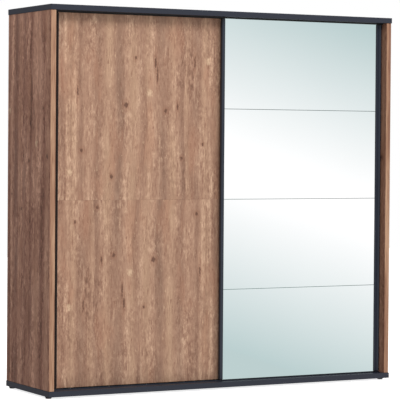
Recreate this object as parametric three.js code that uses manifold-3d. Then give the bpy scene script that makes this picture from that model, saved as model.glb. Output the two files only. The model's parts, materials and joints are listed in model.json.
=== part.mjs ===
// A two-door sliding wardrobe: an oak-decor carcass between a dark top and bottom plate, a plain oak door
// in the rear track and a door faced with four mirror panes in the front track, fitted out inside with
// shelves and a hanging rail. Millimetres, +Z up, the doors face -Y, and the origin lies on the floor
// under the middle of the wardrobe.
import * as THREE from 'three';
import { mergeVertices } from 'three/addons/utils/BufferGeometryUtils.js';
import Module from 'manifold-3d';

const manifold = await Module();
manifold.setup();

// ---- Driving dimensions ----
const WIDTH = 2160;
const HEIGHT = 2100;
const DEPTH = 580;
const GAP = 0.3; // air left between pieces that touch
const BOARD = 30; // side panels, top plate and bottom plate
const INNER_BOARD = 18; // centre partition and shelves
const BOARD_EDGE = 0.8; // small break along every board edge
const PLATE_OVERHANG_SIDE = 3;
const PLATE_OVERHANG_FRONT = 4;
const FOOT_HEIGHT = 12;
const FOOT_TOP_R = 19;
const FOOT_BOTTOM_R = 15.5;
const FOOT_FROM_SIDE = 25;
const FOOT_FROM_FRONT = 58;
const FOOT_FROM_BACK = 30;
const CENTRE_FOOT_INSET = 110;
const FOOT_STUD_R = 4;
const FOOT_STUD_LENGTH = 14;

const DOOR_WIDTH = 1055;
const DOOR_SIDE_GAP = 10;
const DOOR_END_GAP = 7.5; // above and below each door
const DOOR_THICKNESS = 20;
const DOOR_BOARD = 16;
const DOOR_SETBACK = 42; // from the side panels' front edges to the front door
const TRACK_PITCH = 32; // from the front door to the rear door
const MIRROR_THICKNESS = 4;
const MIRROR_PANES = 4;
const MIRROR_SEAM = 1.2;
const MIRROR_EDGE = 0.5;
const SPLINE_THICKNESS = 4;
const SPLINE_HEIGHT = 20;

const HANDLE_PROFILE = 34;
const EDGE_PROFILE = 16;
const PROFILE_WALL = 1.6;
const PROFILE_CHANNEL = 10; // depth of the channel that holds the door board
const PROFILE_CORNER = 1.2;
const CHAMBER_WALL = 2.4;
const GRIP_FROM_EDGE = 4;
const GRIP_WIDTH = 18;
const GRIP_DEPTH = 2.2;
const BRUSH_THICKNESS = 7;
const BRUSH_DEPTH = 6;

const WHEEL_R = 12;
const WHEEL_WIDTH = 5.5;
const WHEEL_EDGE = 0.8;
const AXLE_R = 2;
const WHEEL_FROM_END = 120; // wheel centre from the door's end
const HARDWARE_THICKNESS = 9.4; // roller units and top guides, let into the back of the door
const ROLLER_LENGTH = 56;
const ROLLER_HEIGHT = 34;
const GUIDE_LENGTH = 30;
const GUIDE_HEIGHT = 30;
const GUIDE_FIN = 5.4;
const GUIDE_FIN_LENGTH = 24;
const GUIDE_FIN_HEIGHT = 10.5;

const TRACK_MARGIN = 9; // from the outer channels' centres to the track's edges
const CHANNEL_WIDTH = 8;
const CHANNEL_RIB = 1.6;
const BOTTOM_TRACK_LET_IN = 4;
const BOTTOM_TRACK_BASE = 3.4;
const BOTTOM_TRACK_HEIGHT = 8;
const TOP_TRACK_LET_IN = 8;
const TOP_TRACK_BASE = 3.4;
const TOP_TRACK_HEIGHT = 12;
const STOP_LENGTH = 18;
const STOP_HEIGHT = 7;
const STOP_CLEARANCE = 1;

const BACK_THICKNESS = 3.2;
const BACK_FROM_REAR = 16.5;
const BACK_GROOVE = 8;

const PARTITION_BEHIND_DOOR = 8;
const SHELF_SETBACK = 14;
const HAT_SHELF_TOP = 1780;
const REST_LEG = 15; // steel angle under each end of a shelf
const REST_THICKNESS = 1.5;
const REST_LENGTH = 400;
const RAIL_R = 12.5;
const RAIL_WALL = 1.5;
const RAIL_HEIGHT = 1700;
const RAIL_FROM_SHELF_FRONT = 210;
const SOCKET_R = 25;
const SOCKET_FLANGE = 4;
const SOCKET_COLLAR_R = 15.5;
const SOCKET_DEPTH = 16;

const ROUND_SIDES = 32;

// ---- Places worked out from the driving dimensions ----
const FRONT = -DEPTH / 2;
const BACK = DEPTH / 2;
const PANEL_FRONT = FRONT + PLATE_OVERHANG_FRONT;
const BOTTOM_TOP = FOOT_HEIGHT + BOARD;
const TOP_UNDER = HEIGHT - BOARD;
const PANEL_OUTER = WIDTH / 2 - PLATE_OVERHANG_SIDE;
const PANEL_INNER = PANEL_OUTER - BOARD;
const DOOR_BOTTOM = BOTTOM_TOP + DOOR_END_GAP;
const DOOR_TOP = TOP_UNDER - DOOR_END_GAP;
const DOOR_HEIGHT = DOOR_TOP - DOOR_BOTTOM;
const DOOR_MIDDLE = (DOOR_TOP + DOOR_BOTTOM) / 2;
const FRONT_DOOR = PANEL_FRONT + DOOR_SETBACK;
const REAR_DOOR = FRONT_DOOR + TRACK_PITCH;
const DOOR_OUTER = PANEL_INNER - DOOR_SIDE_GAP;
const BOARD_FRONT = (DOOR_THICKNESS - DOOR_BOARD) / 2; // from the door's front face to its board
const BOARD_BACK = BOARD_FRONT + DOOR_BOARD;
const CHANNEL_CENTRE = BOARD_BACK - HARDWARE_THICKNESS / 2; // from the door's front face to its wheels
const FRONT_CHANNEL = FRONT_DOOR + CHANNEL_CENTRE;
const REAR_CHANNEL = REAR_DOOR + CHANNEL_CENTRE;
const TRACK_FRONT = FRONT_CHANNEL - TRACK_MARGIN;
const TRACK_BACK = REAR_CHANNEL + TRACK_MARGIN;
const TRACK_LENGTH = 2 * (PANEL_INNER - GAP);
const CHANNEL_FLOOR = BOTTOM_TOP - BOTTOM_TRACK_LET_IN + BOTTOM_TRACK_BASE;
const AXLE_Z = CHANNEL_FLOOR + GAP + WHEEL_R;
const BACK_PANEL_FRONT = BACK - BACK_FROM_REAR - BACK_THICKNESS;
const PARTITION_FRONT = REAR_DOOR + DOOR_THICKNESS + PARTITION_BEHIND_DOOR;
const SHELF_FRONT = PARTITION_FRONT + SHELF_SETBACK;
const SHELF_BACK = BACK_PANEL_FRONT - GAP;
const HAT_SHELF_UNDER = HAT_SHELF_TOP - INNER_BOARD;
const LINEN_SHELVES = 2;
const LINEN_STEP = (HAT_SHELF_UNDER - BOTTOM_TOP + INNER_BOARD) / (LINEN_SHELVES + 1);

// ---- Finishes ----
const finish = (color, roughness, metalness = 0) =>
  new THREE.MeshStandardMaterial({ color, roughness, metalness });
const oakDecor = finish('#a8805f', 0.6);
const anthraciteDecor = finish('#3c3e48', 0.55);
const interiorDecor = finish('#b3a48f', 0.65);
const backboard = finish('#cfc7ba', 0.8);
const anthraciteAluminium = finish('#3a3d45', 0.4, 0.7);
const mirrorGlass = finish('#e4eeee', 0.03, 1);
const fibreboard = finish('#8a6a4c', 0.85);
const zincedSteel = finish('#a9adb2', 0.35, 0.9);
const greyNylon = finish('#6d7075', 0.5);
const blackPlastic = finish('#1c1c1e', 0.55);
const brushPile = finish('#242427', 0.95);

// ---- Solids ----

/** Merges shared corners, drops triangles of no area and turns the faces outwards. */
function welded(geometry) {
  const bare = geometry.clone();
  bare.deleteAttribute('normal');
  bare.deleteAttribute('uv');
  const merged = mergeVertices(bare, 1e-4);
  const triangles = [];
  for (let i = 0; i < merged.index.count; i += 3) {
    const corners = [0, 1, 2].map((k) => merged.index.getX(i + k));
    if (new Set(corners).size === 3) {
      triangles.push(corners);
    }
  }
  const at = (k) => new THREE.Vector3().fromBufferAttribute(merged.attributes.position, k);
  let volume = 0;
  for (const [a, b, c] of triangles) {
    volume += at(a).dot(at(b).cross(at(c)));
  }
  merged.setIndex(triangles.flatMap(([a, b, c]) => (volume > 0 ? [a, b, c] : [a, c, b])));
  return merged;
}

function solidFrom(geometry) {
  const merged = welded(geometry);
  return new manifold.Manifold(new manifold.Mesh({
    numProp: 3,
    vertProperties: new Float32Array(merged.attributes.position.array),
    triVerts: new Uint32Array(merged.index.array),
  }));
}

function geometryFrom(solid) {
  const mesh = solid.getMesh();
  const geometry = new THREE.BufferGeometry();
  geometry.setAttribute('position', new THREE.BufferAttribute(mesh.vertProperties, 3));
  geometry.setIndex(new THREE.BufferAttribute(mesh.triVerts, 1));
  return geometry;
}

/** A block with every edge broken by the given amount, centred on the origin. */
function blockGeometry(width, depth, height, edge = 0) {
  if (edge === 0) {
    return new THREE.BoxGeometry(width, depth, height);
  }
  const x = width / 2;
  const y = depth / 2;
  const outline = new THREE.Shape([
    new THREE.Vector2(edge - x, -y),
    new THREE.Vector2(x - edge, -y),
    new THREE.Vector2(x, edge - y),
    new THREE.Vector2(x, y - edge),
    new THREE.Vector2(x - edge, y),
    new THREE.Vector2(edge - x, y),
    new THREE.Vector2(-x, y - edge),
    new THREE.Vector2(-x, edge - y),
  ]);
  const geometry = new THREE.ExtrudeGeometry(outline, {
    depth: height - 2 * edge,
    bevelThickness: edge,
    bevelSize: edge,
    bevelOffset: -edge,
    bevelSegments: 1,
  });
  geometry.translate(0, 0, edge - height / 2);
  return geometry;
}

/** A mesh of one block that fills the given spans, less the blocks cut out of it. */
function board(name, { x, y, z, edge = BOARD_EDGE, cuts = [] }, look) {
  const centre = new THREE.Vector3((x[0] + x[1]) / 2, (y[0] + y[1]) / 2, (z[0] + z[1]) / 2);
  let geometry = blockGeometry(x[1] - x[0], y[1] - y[0], z[1] - z[0], edge);
  if (cuts.length > 0) {
    let solid = solidFrom(geometry);
    for (const cut of cuts) {
      const tool = cut.geometry ?? new THREE.BoxGeometry(
        cut.x[1] - cut.x[0], cut.y[1] - cut.y[0], cut.z[1] - cut.z[0]);
      const place = cut.place ?? new THREE.Vector3(
        (cut.x[0] + cut.x[1]) / 2, (cut.y[0] + cut.y[1]) / 2, (cut.z[0] + cut.z[1]) / 2);
      const offset = place.clone().sub(centre);
      tool.translate(offset.x, offset.y, offset.z);
      solid = solid.subtract(solidFrom(tool));
    }
    geometry = geometryFrom(solid);
  }
  const mesh = new THREE.Mesh(welded(geometry), look);
  mesh.name = name;
  mesh.position.copy(centre);
  return mesh;
}

/** A closed ring or disc turned about Z from [radius, height] pairs. */
function turnedGeometry(profile, sides = ROUND_SIDES) {
  const points = profile.map(([radius, height]) => new THREE.Vector2(radius, height));
  const geometry = new THREE.LatheGeometry(points, sides);
  geometry.rotateX(Math.PI / 2);
  return geometry;
}

function piece(name, geometry, look, position) {
  const mesh = new THREE.Mesh(welded(geometry), look);
  mesh.name = name;
  mesh.position.set(...position);
  return mesh;
}

const wardrobe = new THREE.Group();
const carcass = new THREE.Group();
wardrobe.add(carcass);

// ---- Carcass: two plates, two side panels, partition, back ----
const backGroove = [BACK_PANEL_FRONT - GAP, BACK_PANEL_FRONT + BACK_THICKNESS + GAP];
const trackGroove = [TRACK_FRONT - GAP, TRACK_BACK + GAP];
const footPlaces = [];
for (const [row, y] of [['front', FRONT + FOOT_FROM_FRONT], ['rear', BACK - FOOT_FROM_BACK]]) {
  for (const [column, side] of [['left', -1], ['centre', 0], ['right', 1]]) {
    const inset = side === 0 && row === 'front' ? CENTRE_FOOT_INSET : 0;
    footPlaces.push({
      name: `${row}_${column}_foot`,
      x: side * (WIDTH / 2 - FOOT_FROM_SIDE),
      y: y + inset,
    });
  }
}
const studSocket = (foot) => ({
  geometry: turnedGeometry([
    [0, 0],
    [FOOT_STUD_R + GAP, 0],
    [FOOT_STUD_R + GAP, FOOT_STUD_LENGTH + 1 + GAP],
    [0, FOOT_STUD_LENGTH + 1 + GAP],
  ], 16),
  place: new THREE.Vector3(foot.x, foot.y, FOOT_HEIGHT - 1),
});

carcass.add(board('top_plate', {
  x: [-WIDTH / 2, WIDTH / 2],
  y: [FRONT, BACK],
  z: [TOP_UNDER, HEIGHT],
  cuts: [
    { x: [-PANEL_INNER, PANEL_INNER], y: trackGroove, z: [TOP_UNDER - 1, TOP_UNDER + TOP_TRACK_LET_IN + GAP] },
    {
      x: [-PANEL_INNER - BACK_GROOVE, PANEL_INNER + BACK_GROOVE],
      y: backGroove,
      z: [TOP_UNDER - 1, TOP_UNDER + BACK_GROOVE],
    },
  ],
}, anthraciteDecor));

carcass.add(board('bottom_plate', {
  x: [-WIDTH / 2, WIDTH / 2],
  y: [FRONT, BACK],
  z: [FOOT_HEIGHT, BOTTOM_TOP],
  cuts: [
    {
      x: [-PANEL_INNER, PANEL_INNER],
      y: trackGroove,
      z: [BOTTOM_TOP - BOTTOM_TRACK_LET_IN - GAP, BOTTOM_TOP + 1],
    },
    {
      x: [-PANEL_INNER - BACK_GROOVE, PANEL_INNER + BACK_GROOVE],
      y: backGroove,
      z: [BOTTOM_TOP - BACK_GROOVE, BOTTOM_TOP + 1],
    },
    ...footPlaces.map(studSocket),
  ],
}, anthraciteDecor));

for (const [name, side] of [['left_side_panel', -1], ['right_side_panel', 1]]) {
  const outer = side * PANEL_OUTER;
  const inner = side * PANEL_INNER;
  const grooveEnds = [inner - side, inner + side * BACK_GROOVE];
  carcass.add(board(name, {
    x: [Math.min(outer, inner), Math.max(outer, inner)],
    y: [PANEL_FRONT, BACK],
    z: [BOTTOM_TOP + GAP, TOP_UNDER - GAP],
    cuts: [{ x: [Math.min(...grooveEnds), Math.max(...grooveEnds)], y: backGroove, z: [0, HEIGHT] }],
  }, oakDecor));
}

carcass.add(board('centre_partition', {
  x: [-INNER_BOARD / 2, INNER_BOARD / 2],
  y: [PARTITION_FRONT, BACK_PANEL_FRONT - GAP],
  z: [BOTTOM_TOP + GAP, TOP_UNDER - GAP],
}, interiorDecor));

for (const [name, side] of [['left_back_panel', -1], ['right_back_panel', 1]]) {
  const inner = side * GAP / 2;
  const outer = side * (PANEL_INNER + BACK_GROOVE - GAP);
  carcass.add(board(name, {
    x: [Math.min(inner, outer), Math.max(inner, outer)],
    y: [BACK_PANEL_FRONT, BACK_PANEL_FRONT + BACK_THICKNESS],
    z: [BOTTOM_TOP - BACK_GROOVE + GAP, TOP_UNDER + BACK_GROOVE - GAP],
    edge: 0.3,
  }, backboard));
}

// ---- Feet: turned glides, each plugged into the bottom plate by a stud ----
const footProfile = [
  [0, 0],
  [FOOT_BOTTOM_R - 1.5, 0],
  [FOOT_BOTTOM_R, 1.5],
  [FOOT_TOP_R, FOOT_HEIGHT - 3],
  [FOOT_TOP_R, FOOT_HEIGHT - GAP],
  [FOOT_STUD_R, FOOT_HEIGHT - GAP],
  [FOOT_STUD_R, FOOT_HEIGHT - GAP + FOOT_STUD_LENGTH],
  [0, FOOT_HEIGHT - GAP + FOOT_STUD_LENGTH],
];
for (const foot of footPlaces) {
  const mesh = piece(foot.name, turnedGeometry(footProfile, 24), blackPlastic, [foot.x, foot.y, 0]);
  carcass.add(mesh);
}

// ---- Tracks: one extruded section along X with two channels, for the rear and the front door ----

/** Outline in (y, z) of a track: a base strip and a rib on each side of both channels. */
function trackOutline(baseEdge, baseFace, ribEdge) {
  const outline = [[TRACK_FRONT, baseEdge], [TRACK_BACK, baseEdge], [TRACK_BACK, baseFace]];
  for (const centre of [REAR_CHANNEL, FRONT_CHANNEL]) {
    const near = CHANNEL_WIDTH / 2;
    const far = near + CHANNEL_RIB;
    for (const [offset, level] of [
      [far, baseFace], [far, ribEdge], [near, ribEdge], [near, baseFace],
      [-near, baseFace], [-near, ribEdge], [-far, ribEdge], [-far, baseFace],
    ]) {
      outline.push([centre + offset, level]);
    }
  }
  outline.push([TRACK_FRONT, baseFace]);
  return new THREE.Shape(outline.map(([y, z]) => new THREE.Vector2(y, z)));
}

function track(name, outline) {
  const geometry = new THREE.ExtrudeGeometry(outline, { depth: TRACK_LENGTH, bevelEnabled: false });
  geometry.translate(0, 0, -TRACK_LENGTH / 2);
  const mesh = piece(name, geometry, anthraciteAluminium, [0, 0, 0]);
  const alongY = new THREE.Vector3(0, 1, 0);
  const alongZ = new THREE.Vector3(0, 0, 1);
  const alongX = new THREE.Vector3(1, 0, 0);
  mesh.quaternion.setFromRotationMatrix(new THREE.Matrix4().makeBasis(alongY, alongZ, alongX));
  return mesh;
}

const bottomTrackUnder = BOTTOM_TOP - BOTTOM_TRACK_LET_IN;
const topTrackUpper = TOP_UNDER + TOP_TRACK_LET_IN;
carcass.add(track('bottom_track',
  trackOutline(bottomTrackUnder, CHANNEL_FLOOR, bottomTrackUnder + BOTTOM_TRACK_HEIGHT)));
carcass.add(track('top_track',
  trackOutline(topTrackUpper, topTrackUpper - TOP_TRACK_BASE, topTrackUpper - TOP_TRACK_HEIGHT)));

// ---- Track stops: a block in each end of each channel that the door's last wheel meets ----
const aboveFloor = WHEEL_R - STOP_HEIGHT;
const wheelReach = Math.sqrt(WHEEL_R ** 2 - aboveFloor ** 2);
const stopFace = DOOR_OUTER - WHEEL_FROM_END + wheelReach + STOP_CLEARANCE;
for (const [row, channel] of [['front', FRONT_CHANNEL], ['rear', REAR_CHANNEL]]) {
  for (const [column, side] of [['left', -1], ['right', 1]]) {
    const ends = [side * stopFace, side * (stopFace + STOP_LENGTH)];
    carcass.add(board(`${row}_track_${column}_stop`, {
      x: [Math.min(...ends), Math.max(...ends)],
      y: [channel - CHANNEL_WIDTH / 2 + GAP, channel + CHANNEL_WIDTH / 2 - GAP],
      z: [CHANNEL_FLOOR + GAP, CHANNEL_FLOOR + STOP_HEIGHT],
    }, blackPlastic));
  }
}

// ---- Shelves, each on a steel angle at both ends ----
function shelfOnRests(name, side, top) {
  const inner = side * (INNER_BOARD / 2 + GAP);
  const outer = side * (PANEL_INNER - GAP);
  const under = top - INNER_BOARD;
  carcass.add(board(name, {
    x: [Math.min(inner, outer), Math.max(inner, outer)],
    y: [SHELF_FRONT, SHELF_BACK],
    z: [under, top],
  }, interiorDecor));
  const angle = new THREE.Shape([
    new THREE.Vector2(0, 0),
    new THREE.Vector2(REST_LEG, 0),
    new THREE.Vector2(REST_LEG, -REST_THICKNESS),
    new THREE.Vector2(REST_THICKNESS, -REST_THICKNESS),
    new THREE.Vector2(REST_THICKNESS, -REST_LEG),
    new THREE.Vector2(0, -REST_LEG),
  ]);
  const geometry = new THREE.ExtrudeGeometry(angle, { depth: REST_LENGTH, bevelEnabled: false });
  geometry.translate(0, 0, -REST_LENGTH / 2);
  geometry.rotateX(-Math.PI / 2);
  geometry.scale(1, 1, -1);
  for (const [end, x, away] of [['inner', inner, side], ['outer', outer, -side]]) {
    const rest = geometry.clone().scale(away, 1, 1);
    const middle = (SHELF_FRONT + SHELF_BACK) / 2;
    carcass.add(piece(`${name}_${end}_rest`, rest, zincedSteel, [x, middle, under - GAP]));
  }
}

shelfOnRests('left_hat_shelf', -1, HAT_SHELF_TOP);
shelfOnRests('right_hat_shelf', 1, HAT_SHELF_TOP);
shelfOnRests('right_upper_shelf', 1, BOTTOM_TOP + LINEN_SHELVES * LINEN_STEP);
shelfOnRests('right_lower_shelf', 1, BOTTOM_TOP + LINEN_STEP);

// ---- Hanging rail in the left compartment: a tube between two flanged sockets ----
const railY = SHELF_FRONT + RAIL_FROM_SHELF_FRONT;
const railEnds = [-PANEL_INNER + SOCKET_FLANGE + GAP, -INNER_BOARD / 2 - SOCKET_FLANGE - GAP];
const railLength = railEnds[1] - railEnds[0] - 2 * GAP;
const railGeometry = turnedGeometry([
  [RAIL_R - RAIL_WALL, -railLength / 2],
  [RAIL_R, -railLength / 2],
  [RAIL_R, railLength / 2],
  [RAIL_R - RAIL_WALL, railLength / 2],
  [RAIL_R - RAIL_WALL, -railLength / 2],
]);
railGeometry.rotateY(Math.PI / 2);
const railMiddle = (railEnds[0] + railEnds[1]) / 2;
carcass.add(piece('hanging_rail', railGeometry, zincedSteel, [railMiddle, railY, RAIL_HEIGHT]));

const socketProfile = [
  [0, 0],
  [SOCKET_R - 1, 0],
  [SOCKET_R, 1],
  [SOCKET_R, SOCKET_FLANGE - 1],
  [SOCKET_R - 1, SOCKET_FLANGE],
  [SOCKET_COLLAR_R, SOCKET_FLANGE],
  [SOCKET_COLLAR_R, SOCKET_DEPTH],
  [RAIL_R + GAP, SOCKET_DEPTH],
  [RAIL_R + GAP, SOCKET_FLANGE],
  [0, SOCKET_FLANGE],
];
for (const [end, x, toward] of [
  ['outer', -PANEL_INNER + GAP, 1],
  ['inner', -INNER_BOARD / 2 - GAP, -1],
]) {
  const geometry = turnedGeometry(socketProfile);
  geometry.rotateY(toward * Math.PI / 2);
  carcass.add(piece(`hanging_rail_${end}_socket`, geometry, zincedSteel, [x, railY, RAIL_HEIGHT]));
}

// ---- Door profiles: upright aluminium extrusions with a channel for the door board ----

/** Section of an upright with its outer edge at x = 0 and its channel opening towards +x. */
function uprightSection(width, isHandle) {
  const outline = new THREE.Shape();
  outline.moveTo(PROFILE_CORNER, 0);
  if (isHandle) {
    const gripEnd = GRIP_FROM_EDGE + GRIP_WIDTH;
    outline.lineTo(GRIP_FROM_EDGE, 0);
    outline.quadraticCurveTo((GRIP_FROM_EDGE + gripEnd) / 2, 2 * GRIP_DEPTH, gripEnd, 0);
  }
  outline.lineTo(width, 0);
  outline.lineTo(width, PROFILE_WALL);
  outline.lineTo(width - PROFILE_CHANNEL, PROFILE_WALL);
  outline.lineTo(width - PROFILE_CHANNEL, DOOR_THICKNESS - PROFILE_WALL);
  outline.lineTo(width, DOOR_THICKNESS - PROFILE_WALL);
  outline.lineTo(width, DOOR_THICKNESS);
  outline.lineTo(PROFILE_CORNER, DOOR_THICKNESS);
  const cornerBack = DOOR_THICKNESS - PROFILE_CORNER;
  outline.absarc(PROFILE_CORNER, cornerBack, PROFILE_CORNER, Math.PI / 2, Math.PI, false);
  outline.absarc(PROFILE_CORNER, PROFILE_CORNER, PROFILE_CORNER, Math.PI, 1.5 * Math.PI, false);
  if (isHandle) {
    const chamberRight = width - PROFILE_CHANNEL - CHAMBER_WALL;
    const chamberFront = GRIP_DEPTH + CHAMBER_WALL;
    const chamberBack = DOOR_THICKNESS - CHAMBER_WALL;
    outline.holes.push(new THREE.Path([
      new THREE.Vector2(CHAMBER_WALL, chamberFront),
      new THREE.Vector2(CHAMBER_WALL, chamberBack),
      new THREE.Vector2(chamberRight, chamberBack),
      new THREE.Vector2(chamberRight, chamberFront),
    ]));
  }
  return outline;
}

function upright(name, width, isHandle, outerX, inward, front) {
  const geometry = new THREE.ExtrudeGeometry(uprightSection(width, isHandle), {
    depth: DOOR_HEIGHT,
    bevelEnabled: false,
    curveSegments: 8,
  });
  geometry.scale(inward, 1, 1);
  return piece(name, geometry, anthraciteAluminium, [outerX, front, DOOR_BOTTOM]);
}

// ---- Door hardware: roller units under the back of the door, guides on top of it ----
const rollerTop = DOOR_BOTTOM + GAP + ROLLER_HEIGHT;

function hardwarePlaces(door) {
  return [
    { side: 'left', x: door.x[0] + WHEEL_FROM_END },
    { side: 'right', x: door.x[1] - WHEEL_FROM_END },
  ];
}

/** The four rebates in the back of a door board that take its roller units and top guides. */
function hardwareRebates(door) {
  const back = door.front + BOARD_BACK;
  const y = [back - HARDWARE_THICKNESS - GAP, back + 1];
  return hardwarePlaces(door).flatMap(({ x }) => [
    {
      x: [x - ROLLER_LENGTH / 2 - GAP, x + ROLLER_LENGTH / 2 + GAP],
      y,
      z: [DOOR_BOTTOM - 1, rollerTop + GAP],
    },
    {
      x: [x - GUIDE_LENGTH / 2 - GAP, x + GUIDE_LENGTH / 2 + GAP],
      y,
      z: [DOOR_TOP - GUIDE_HEIGHT - 2 * GAP, DOOR_TOP + 1],
    },
  ]);
}

function rollerHousingGeometry() {
  const slot = new THREE.BoxGeometry(
    2 * (WHEEL_R + 1.5), WHEEL_WIDTH + 2 * GAP, 2 * (WHEEL_R + 1.5));
  const axle = new THREE.CylinderGeometry(AXLE_R, AXLE_R, HARDWARE_THICKNESS - 1, 16);
  const body = blockGeometry(ROLLER_LENGTH, HARDWARE_THICKNESS, ROLLER_HEIGHT, 0.5);
  body.translate(0, 0, DOOR_BOTTOM + GAP + ROLLER_HEIGHT / 2 - AXLE_Z);
  return geometryFrom(solidFrom(body).subtract(solidFrom(slot)).add(solidFrom(axle)));
}

function wheelGeometry() {
  const half = WHEEL_WIDTH / 2;
  const bore = AXLE_R + GAP;
  const geometry = new THREE.LatheGeometry([
    new THREE.Vector2(bore, -half),
    new THREE.Vector2(WHEEL_R - WHEEL_EDGE, -half),
    new THREE.Vector2(WHEEL_R, WHEEL_EDGE - half),
    new THREE.Vector2(WHEEL_R, half - WHEEL_EDGE),
    new THREE.Vector2(WHEEL_R - WHEEL_EDGE, half),
    new THREE.Vector2(bore, half),
    new THREE.Vector2(bore, -half),
  ], ROUND_SIDES);
  return geometry;
}

/** A nylon block with a fin that runs in the top track. */
function guideGeometry() {
  const body = blockGeometry(GUIDE_LENGTH, HARDWARE_THICKNESS, GUIDE_HEIGHT, 0.5);
  body.translate(0, 0, -GUIDE_HEIGHT / 2);
  const finRoot = 4;
  const fin = blockGeometry(GUIDE_FIN_LENGTH, GUIDE_FIN, GUIDE_FIN_HEIGHT + finRoot, 1);
  fin.translate(0, 0, (GUIDE_FIN_HEIGHT - finRoot) / 2);
  return geometryFrom(solidFrom(body).add(solidFrom(fin)));
}

function addHardware(group, door) {
  const y = door.front + CHANNEL_CENTRE;
  for (const { side, x } of hardwarePlaces(door)) {
    group.add(piece(`${door.name}_${side}_roller_housing`, rollerHousingGeometry(), zincedSteel, [x, y, AXLE_Z]));
    group.add(piece(`${door.name}_${side}_wheel`, wheelGeometry(), greyNylon, [x, y, AXLE_Z]));
    group.add(piece(`${door.name}_${side}_top_guide`, guideGeometry(), greyNylon, [x, y, DOOR_TOP - GAP]));
  }
}

/** Both uprights of a door and the brush strip that closes the gap to the side panel. */
function addUprights(group, door) {
  const [handleX, edgeX] = door.handleSide < 0 ? door.x : [door.x[1], door.x[0]];
  const inward = -door.handleSide;
  group.add(upright(`${door.name}_handle_profile`, HANDLE_PROFILE, true, handleX, inward, door.front));
  group.add(upright(`${door.name}_edge_profile`, EDGE_PROFILE, false, edgeX, -inward, door.front));
  const ends = [handleX + door.handleSide * GAP, handleX + door.handleSide * BRUSH_THICKNESS];
  const middle = door.front + DOOR_THICKNESS / 2;
  group.add(board(`${door.name}_brush_strip`, {
    x: [Math.min(...ends), Math.max(...ends)],
    y: [middle - BRUSH_DEPTH / 2, middle + BRUSH_DEPTH / 2],
    z: [DOOR_BOTTOM, DOOR_TOP],
    edge: 0.5,
  }, brushPile));
}

/** The span of a door's board, which reaches into the channels of both uprights. */
function boardSpan(door) {
  const intoChannel = PROFILE_CHANNEL - 2 * GAP;
  const widths = door.handleSide < 0 ? [HANDLE_PROFILE, EDGE_PROFILE] : [EDGE_PROFILE, HANDLE_PROFILE];
  return [door.x[0] + widths[0] - intoChannel, door.x[1] - widths[1] + intoChannel];
}

// ---- Oak door, in the rear track: two boards one above the other on a loose tongue ----
const woodDoor = {
  name: 'wood_door',
  x: [-DOOR_OUTER, DOOR_WIDTH - DOOR_OUTER],
  front: REAR_DOOR,
  handleSide: -1,
};
const woodGroup = new THREE.Group();
wardrobe.add(woodGroup);
const woodSpan = boardSpan(woodDoor);
const woodY = [woodDoor.front + BOARD_FRONT, woodDoor.front + BOARD_BACK];
const tongueMiddle = (woodY[0] + woodY[1]) / 2;
const tongueHalf = SPLINE_THICKNESS / 2;
const tongueGroove = {
  x: [woodSpan[0] - 1, woodSpan[1] + 1],
  y: [tongueMiddle - tongueHalf - GAP, tongueMiddle + tongueHalf + GAP],
  z: [DOOR_MIDDLE - SPLINE_HEIGHT / 2 - GAP, DOOR_MIDDLE + SPLINE_HEIGHT / 2 + GAP],
};
for (const [name, z] of [
  ['wood_door_lower_board', [DOOR_BOTTOM, DOOR_MIDDLE - GAP / 2]],
  ['wood_door_upper_board', [DOOR_MIDDLE + GAP / 2, DOOR_TOP]],
]) {
  woodGroup.add(board(name, {
    x: woodSpan,
    y: woodY,
    z,
    edge: 0.4,
    cuts: [tongueGroove, ...hardwareRebates(woodDoor)],
  }, oakDecor));
}
woodGroup.add(board('wood_door_tongue', {
  x: woodSpan,
  y: [tongueMiddle - tongueHalf, tongueMiddle + tongueHalf],
  z: [DOOR_MIDDLE - SPLINE_HEIGHT / 2, DOOR_MIDDLE + SPLINE_HEIGHT / 2],
  edge: 0.4,
}, fibreboard));
addUprights(woodGroup, woodDoor);
addHardware(woodGroup, woodDoor);

// ---- Mirror door, in the front track: a backing board faced with four equal mirror panes ----
const mirrorDoor = {
  name: 'mirror_door',
  x: [DOOR_OUTER - DOOR_WIDTH, DOOR_OUTER],
  front: FRONT_DOOR,
  handleSide: 1,
};
const mirrorGroup = new THREE.Group();
wardrobe.add(mirrorGroup);
const mirrorSpan = boardSpan(mirrorDoor);
const mirrorFront = mirrorDoor.front + BOARD_FRONT;
mirrorGroup.add(board('mirror_door_backing_board', {
  x: mirrorSpan,
  y: [mirrorFront + MIRROR_THICKNESS + GAP, mirrorDoor.front + BOARD_BACK],
  z: [DOOR_BOTTOM, DOOR_TOP],
  edge: 0.4,
  cuts: hardwareRebates(mirrorDoor),
}, anthraciteDecor));
const paneHeight = (DOOR_HEIGHT - (MIRROR_PANES - 1) * MIRROR_SEAM) / MIRROR_PANES;
for (let i = 0; i < MIRROR_PANES; i += 1) {
  const top = DOOR_TOP - i * (paneHeight + MIRROR_SEAM);
  mirrorGroup.add(board(`mirror_pane_${i + 1}`, {
    x: mirrorSpan,
    y: [mirrorFront, mirrorFront + MIRROR_THICKNESS],
    z: [top - paneHeight, top],
    edge: MIRROR_EDGE,
  }, mirrorGlass));
}
addUprights(mirrorGroup, mirrorDoor);
addHardware(mirrorGroup, mirrorDoor);

export default wardrobe;
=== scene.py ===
# %% [markdown]
# # A wardrobe with two sliding doors
# The wardrobe is a plain box of melamine boards. Its side panels wear a rustic oak decor, and its top and
# bottom plates are anthracite. Two doors run past each other in front: a wooden one behind, and one with
# four mirror panes in front. The measured model fixes every size and place. This lesson adds what the eye
# wants: eased edges, edge bands, end caps, beads, seals, screws, bristles and the finishes.

# %% Load the measured model
import json
import math
import random

import bpy
from mathutils import Matrix, Vector


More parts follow.
